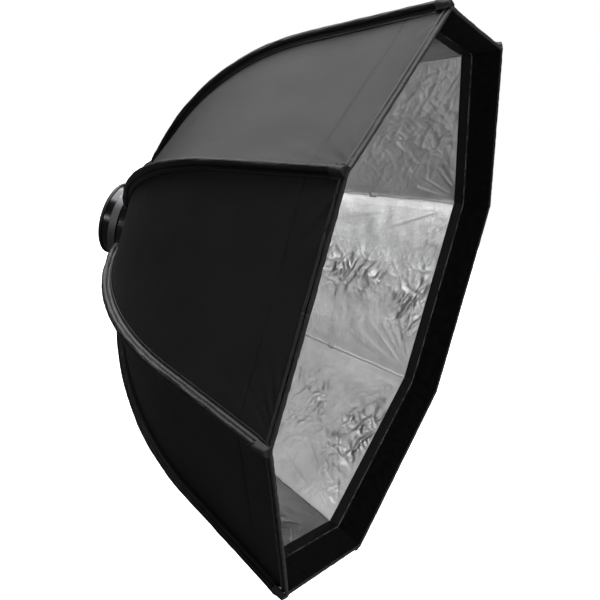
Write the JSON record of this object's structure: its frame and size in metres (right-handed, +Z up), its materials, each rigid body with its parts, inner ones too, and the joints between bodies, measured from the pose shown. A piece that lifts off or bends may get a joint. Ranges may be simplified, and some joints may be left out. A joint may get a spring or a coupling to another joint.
{
  "type": "octabox",
  "caption": "Deep octagonal softbox with a silver-lined black fabric shell on curved folding rods, on a rotating speed ring with a clamping flash collar.",
  "frame": {"origin": "centre of the flash collar's bore on its rear face", "axes": "+Y along the collar's axis out of the back, where the flash head leaves; the open mouth faces -Y; +Z up, with flats of the octagon at the top and bottom"},
  "size_m": [0.9146, 0.5215, 0.9146],
  "materials": {
    "shell_nylon": "tightly woven black nylon with a satin coating, silver coated inside",
    "sleeve_nylon": "glossy coated black nylon stitched into a tube",
    "pocket_nylon": "doubled black nylon, stitched",
    "spring_steel": "drawn spring steel",
    "socket_metal": "glossy black plated",
    "ring_metal": "glossy black",
    "clamp_metal": "satin black",
    "bushing_nylon": "matt black",
    "fastener_steel": "plated",
    "collar_metal": "black anodised, polished band and satin shoulder",
    "liner_rubber": "matt moulded",
    "lever_metal": "satin black",
    "knob_plastic": "fine moulded texture"
  },
  "bodies": {
    "collar": {"adapter_collar": "collar_metal", "grip_liner": "liner_rubber", "collar_snap_ring": "fastener_steel", "lever_pin": "fastener_steel"},
    "ring": {"speed_ring": "ring_metal", "ring_bushing": "bushing_nylon", "clamp_ring": "clamp_metal", "ring_screws": "fastener_steel", "hinge_pins": "fastener_steel"},
    "lever": {"clamp_lever": "lever_metal"},
    "knob": {"knob_stud": "fastener_steel", "lock_knob": "knob_plastic"},
    "rod_1": {"rod_1": "spring_steel", "rod_sleeve_1": "sleeve_nylon", "tip_pocket_1": "pocket_nylon", "rod_socket_1": "socket_metal"},
    "rod_2": {"rod_2": "spring_steel", "rod_sleeve_2": "sleeve_nylon", "tip_pocket_2": "pocket_nylon", "rod_socket_2": "socket_metal"},
    "rod_3": {"rod_3": "spring_steel", "rod_sleeve_3": "sleeve_nylon", "tip_pocket_3": "pocket_nylon", "rod_socket_3": "socket_metal"},
    "rod_4": {"rod_4": "spring_steel", "rod_sleeve_4": "sleeve_nylon", "tip_pocket_4": "pocket_nylon", "rod_socket_4": "socket_metal"},
    "rod_5": {"rod_5": "spring_steel", "rod_sleeve_5": "sleeve_nylon", "tip_pocket_5": "pocket_nylon", "rod_socket_5": "socket_metal"},
    "rod_6": {"rod_6": "spring_steel", "rod_sleeve_6": "sleeve_nylon", "tip_pocket_6": "pocket_nylon", "rod_socket_6": "socket_metal"},
    "rod_7": {"rod_7": "spring_steel", "rod_sleeve_7": "sleeve_nylon", "tip_pocket_7": "pocket_nylon", "rod_socket_7": "socket_metal"},
    "rod_8": {"rod_8": "spring_steel", "rod_sleeve_8": "sleeve_nylon", "tip_pocket_8": "pocket_nylon", "rod_socket_8": "socket_metal"},
    "fabric_1a": {"shell_half_1a": "shell_nylon"},
    "fabric_1b": {"shell_half_1b": "shell_nylon"},
    "fabric_2a": {"shell_half_2a": "shell_nylon"},
    "fabric_2b": {"shell_half_2b": "shell_nylon"},
    "fabric_3a": {"shell_half_3a": "shell_nylon"},
    "fabric_3b": {"shell_half_3b": "shell_nylon"},
    "fabric_4a": {"shell_half_4a": "shell_nylon"},
    "fabric_4b": {"shell_half_4b": "shell_nylon"},
    "fabric_5a": {"shell_half_5a": "shell_nylon"},
    "fabric_5b": {"shell_half_5b": "shell_nylon"},
    "fabric_6a": {"shell_half_6a": "shell_nylon"},
    "fabric_6b": {"shell_half_6b": "shell_nylon"},
    "fabric_7a": {"shell_half_7a": "shell_nylon"},
    "fabric_7b": {"shell_half_7b": "shell_nylon"},
    "fabric_8a": {"shell_half_8a": "shell_nylon"},
    "fabric_8b": {"shell_half_8b": "shell_nylon"}
  },
  "joints": [
    {"name": "ring_rotation", "type": "hinge", "parent": "collar", "child": "ring", "pos_m": [0, -0.05, 0], "axis": [0, 1, 0], "continuous": true},
    {"name": "clamp_lever_swing", "type": "hinge", "parent": "collar", "child": "lever", "pos_m": [0.06202, -0.014, 0.02257], "axis": [0, -1, 0], "range_deg": [0, 70]},
    {"name": "lock_knob_turn", "type": "hinge", "parent": "ring", "child": "knob", "pos_m": [0.095, -0.051, 0], "axis": [1, 0, 0], "range_deg": [0, 300]},
    {"name": "rod_1_fold", "type": "hinge", "parent": "ring", "child": "rod_1", "pos_m": [-0.03079, -0.0545, 0.07434], "axis": [0.9239, 0, 0.3827], "range_deg": [0, 41.7]},
    {"name": "rod_2_fold", "type": "hinge", "parent": "ring", "child": "rod_2", "pos_m": [0.03079, -0.0545, 0.07434], "axis": [0.9239, 0, -0.3827], "range_deg": [0, 41.7]},
    {"name": "rod_3_fold", "type": "hinge", "parent": "ring", "child": "rod_3", "pos_m": [0.07434, -0.0545, 0.03079], "axis": [0.3827, 0, -0.9239], "range_deg": [0, 41.7]},
    {"name": "rod_4_fold", "type": "hinge", "parent": "ring", "child": "rod_4", "pos_m": [0.07434, -0.0545, -0.03079], "axis": [-0.3827, 0, -0.9239], "range_deg": [0, 41.7]},
    {"name": "rod_5_fold", "type": "hinge", "parent": "ring", "child": "rod_5", "pos_m": [0.03079, -0.0545, -0.07434], "axis": [-0.9239, 0, -0.3827], "range_deg": [0, 41.7]},
    {"name": "rod_6_fold", "type": "hinge", "parent": "ring", "child": "rod_6", "pos_m": [-0.03079, -0.0545, -0.07434], "axis": [-0.9239, 0, 0.3827], "range_deg": [0, 41.7]},
    {"name": "rod_7_fold", "type": "hinge", "parent": "ring", "child": "rod_7", "pos_m": [-0.07434, -0.0545, -0.03079], "axis": [-0.3827, 0, 0.9239], "range_deg": [0, 41.7]},
    {"name": "rod_8_fold", "type": "hinge", "parent": "ring", "child": "rod_8", "pos_m": [-0.07434, -0.0545, 0.03079], "axis": [0.3827, 0, 0.9239], "range_deg": [0, 41.7]},
    {"name": "fabric_1a_fold", "type": "hinge", "parent": "rod_1", "child": "fabric_1a", "pos_m": [-0.03079, -0.0545, 0.07434], "axis": [-0.7267, -0.1313, -0.6743], "range_deg": [0, 23.3], "deforming": ["shell_half_1a"]},
    {"name": "fabric_1b_fold", "type": "hinge", "parent": "rod_1", "child": "fabric_1b", "pos_m": [-0.03079, -0.0545, 0.07434], "axis": [-0.9906, 0.1313, -0.0371], "range_deg": [0, 23.3], "deforming": ["shell_half_1b"]},
    {"name": "fabric_2a_fold", "type": "hinge", "parent": "rod_2", "child": "fabric_2a", "pos_m": [0.03079, -0.0545, 0.07434], "axis": [-0.9906, -0.1313, 0.0371], "range_deg": [0, 23.3], "deforming": ["shell_half_2a"]},
    {"name": "fabric_2b_fold", "type": "hinge", "parent": "rod_2", "child": "fabric_2b", "pos_m": [0.03079, -0.0545, 0.07434], "axis": [-0.7267, 0.1313, 0.6743], "range_deg": [0, 23.3], "deforming": ["shell_half_2b"]},
    {"name": "fabric_3a_fold", "type": "hinge", "parent": "rod_3", "child": "fabric_3a", "pos_m": [0.07434, -0.0545, 0.03079], "axis": [-0.6743, -0.1313, 0.7267], "range_deg": [0, 23.3], "deforming": ["shell_half_3a"]},
    {"name": "fabric_3b_fold", "type": "hinge", "parent": "rod_3", "child": "fabric_3b", "pos_m": [0.07434, -0.0545, 0.03079], "axis": [-0.0371, 0.1313, 0.9906], "range_deg": [0, 23.3], "deforming": ["shell_half_3b"]},
    {"name": "fabric_4a_fold", "type": "hinge", "parent": "rod_4", "child": "fabric_4a", "pos_m": [0.07434, -0.0545, -0.03079], "axis": [0.0371, -0.1313, 0.9906], "range_deg": [0, 23.3], "deforming": ["shell_half_4a"]},
    {"name": "fabric_4b_fold", "type": "hinge", "parent": "rod_4", "child": "fabric_4b", "pos_m": [0.07434, -0.0545, -0.03079], "axis": [0.6743, 0.1313, 0.7267], "range_deg": [0, 23.3], "deforming": ["shell_half_4b"]},
    {"name": "fabric_5a_fold", "type": "hinge", "parent": "rod_5", "child": "fabric_5a", "pos_m": [0.03079, -0.0545, -0.07434], "axis": [0.7267, -0.1313, 0.6743], "range_deg": [0, 23.3], "deforming": ["shell_half_5a"]},
    {"name": "fabric_5b_fold", "type": "hinge", "parent": "rod_5", "child": "fabric_5b", "pos_m": [0.03079, -0.0545, -0.07434], "axis": [0.9906, 0.1313, 0.0371], "range_deg": [0, 23.3], "deforming": ["shell_half_5b"]},
    {"name": "fabric_6a_fold", "type": "hinge", "parent": "rod_6", "child": "fabric_6a", "pos_m": [-0.03079, -0.0545, -0.07434], "axis": [0.9906, -0.1313, -0.0371], "range_deg": [0, 23.3], "deforming": ["shell_half_6a"]},
    {"name": "fabric_6b_fold", "type": "hinge", "parent": "rod_6", "child": "fabric_6b", "pos_m": [-0.03079, -0.0545, -0.07434], "axis": [0.7267, 0.1313, -0.6743], "range_deg": [0, 23.3], "deforming": ["shell_half_6b"]},
    {"name": "fabric_7a_fold", "type": "hinge", "parent": "rod_7", "child": "fabric_7a", "pos_m": [-0.07434, -0.0545, -0.03079], "axis": [0.6743, -0.1313, -0.7267], "range_deg": [0, 23.3], "deforming": ["shell_half_7a"]},
    {"name": "fabric_7b_fold", "type": "hinge", "parent": "rod_7", "child": "fabric_7b", "pos_m": [-0.07434, -0.0545, -0.03079], "axis": [0.0371, 0.1313, -0.9906], "range_deg": [0, 23.3], "deforming": ["shell_half_7b"]},
    {"name": "fabric_8a_fold", "type": "hinge", "parent": "rod_8", "child": "fabric_8a", "pos_m": [-0.07434, -0.0545, 0.03079], "axis": [-0.0371, -0.1313, -0.9906], "range_deg": [0, 23.3], "deforming": ["shell_half_8a"]},
    {"name": "fabric_8b_fold", "type": "hinge", "parent": "rod_8", "child": "fabric_8b", "pos_m": [-0.07434, -0.0545, 0.03079], "axis": [-0.6743, 0.1313, -0.7267], "range_deg": [0, 23.3], "deforming": ["shell_half_8b"]}
  ],
  "couplings": [
    {"joint": "rod_2_fold", "follows": "rod_1_fold", "ratio": 1},
    {"joint": "rod_3_fold", "follows": "rod_1_fold", "ratio": 1},
    {"joint": "rod_4_fold", "follows": "rod_1_fold", "ratio": 1},
    {"joint": "rod_5_fold", "follows": "rod_1_fold", "ratio": 1},
    {"joint": "rod_6_fold", "follows": "rod_1_fold", "ratio": 1},
    {"joint": "rod_7_fold", "follows": "rod_1_fold", "ratio": 1},
    {"joint": "rod_8_fold", "follows": "rod_1_fold", "ratio": 1},
    {"joint": "fabric_1a_fold", "follows": "rod_1_fold", "ratio": 0.5485},
    {"joint": "fabric_1b_fold", "follows": "rod_1_fold", "ratio": 0.5485},
    {"joint": "fabric_2a_fold", "follows": "rod_1_fold", "ratio": 0.5485},
    {"joint": "fabric_2b_fold", "follows": "rod_1_fold", "ratio": 0.5485},
    {"joint": "fabric_3a_fold", "follows": "rod_1_fold", "ratio": 0.5485},
    {"joint": "fabric_3b_fold", "follows": "rod_1_fold", "ratio": 0.5485},
    {"joint": "fabric_4a_fold", "follows": "rod_1_fold", "ratio": 0.5485},
    {"joint": "fabric_4b_fold", "follows": "rod_1_fold", "ratio": 0.5485},
    {"joint": "fabric_5a_fold", "follows": "rod_1_fold", "ratio": 0.5485},
    {"joint": "fabric_5b_fold", "follows": "rod_1_fold", "ratio": 0.5485},
    {"joint": "fabric_6a_fold", "follows": "rod_1_fold", "ratio": 0.5485},
    {"joint": "fabric_6b_fold", "follows": "rod_1_fold", "ratio": 0.5485},
    {"joint": "fabric_7a_fold", "follows": "rod_1_fold", "ratio": 0.5485},
    {"joint": "fabric_7b_fold", "follows": "rod_1_fold", "ratio": 0.5485},
    {"joint": "fabric_8a_fold", "follows": "rod_1_fold", "ratio": 0.5485},
    {"joint": "fabric_8b_fold", "follows": "rod_1_fold", "ratio": 0.5485}
  ]
}
